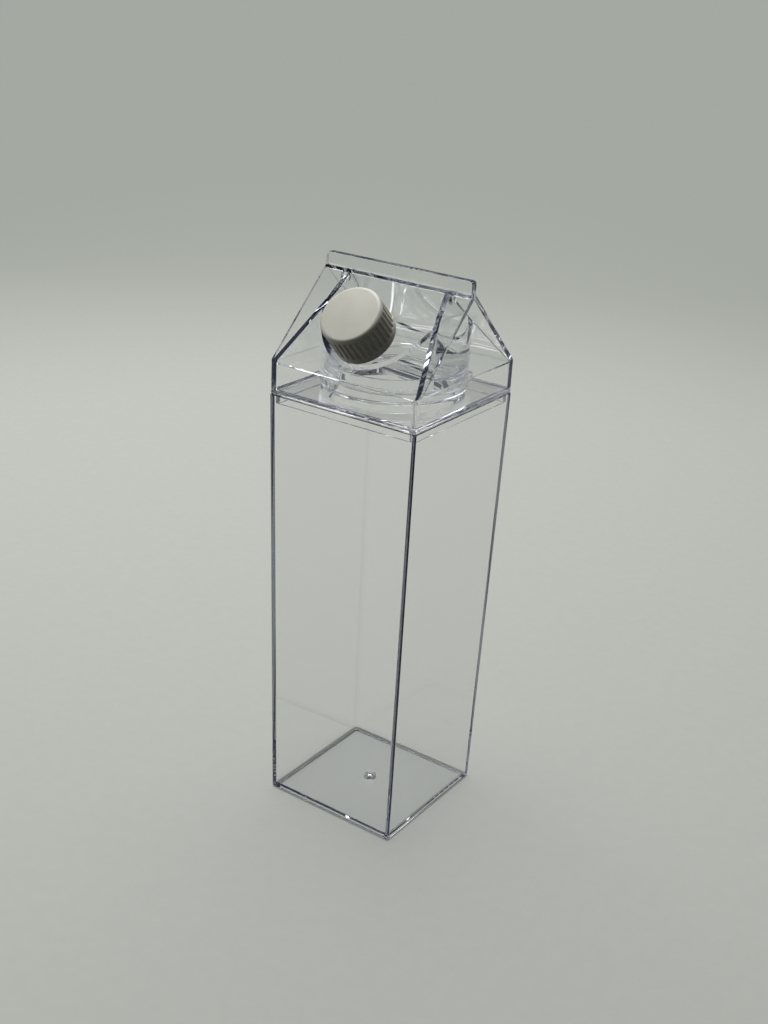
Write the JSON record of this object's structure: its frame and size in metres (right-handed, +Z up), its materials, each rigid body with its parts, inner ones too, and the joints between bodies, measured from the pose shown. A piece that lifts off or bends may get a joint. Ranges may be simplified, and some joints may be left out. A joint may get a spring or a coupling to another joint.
{
  "type": "plastic bottle",
  "caption": "Clear square plastic bottle shaped like a milk carton, with a gable head, a ribbed screw cap on the roof and a wide neck inside.",
  "frame": {"origin": "middle of the foot, on the surface that the bottle stands on", "axes": "+Z up; X along the ridge and its fin; the roof panel with the spout and cap faces -Y"},
  "size_m": [0.065, 0.0691, 0.2198],
  "materials": {
    "clear_body": "clear, polished",
    "clear_neck": "clear, polished",
    "clear_head": "clear, polished",
    "cap_plastic": "satin off-white"
  },
  "bodies": {
    "root": {"body": "clear_body", "neck": "clear_neck", "head": "clear_head", "cap": "cap_plastic"}
  },
  "joints": []
}
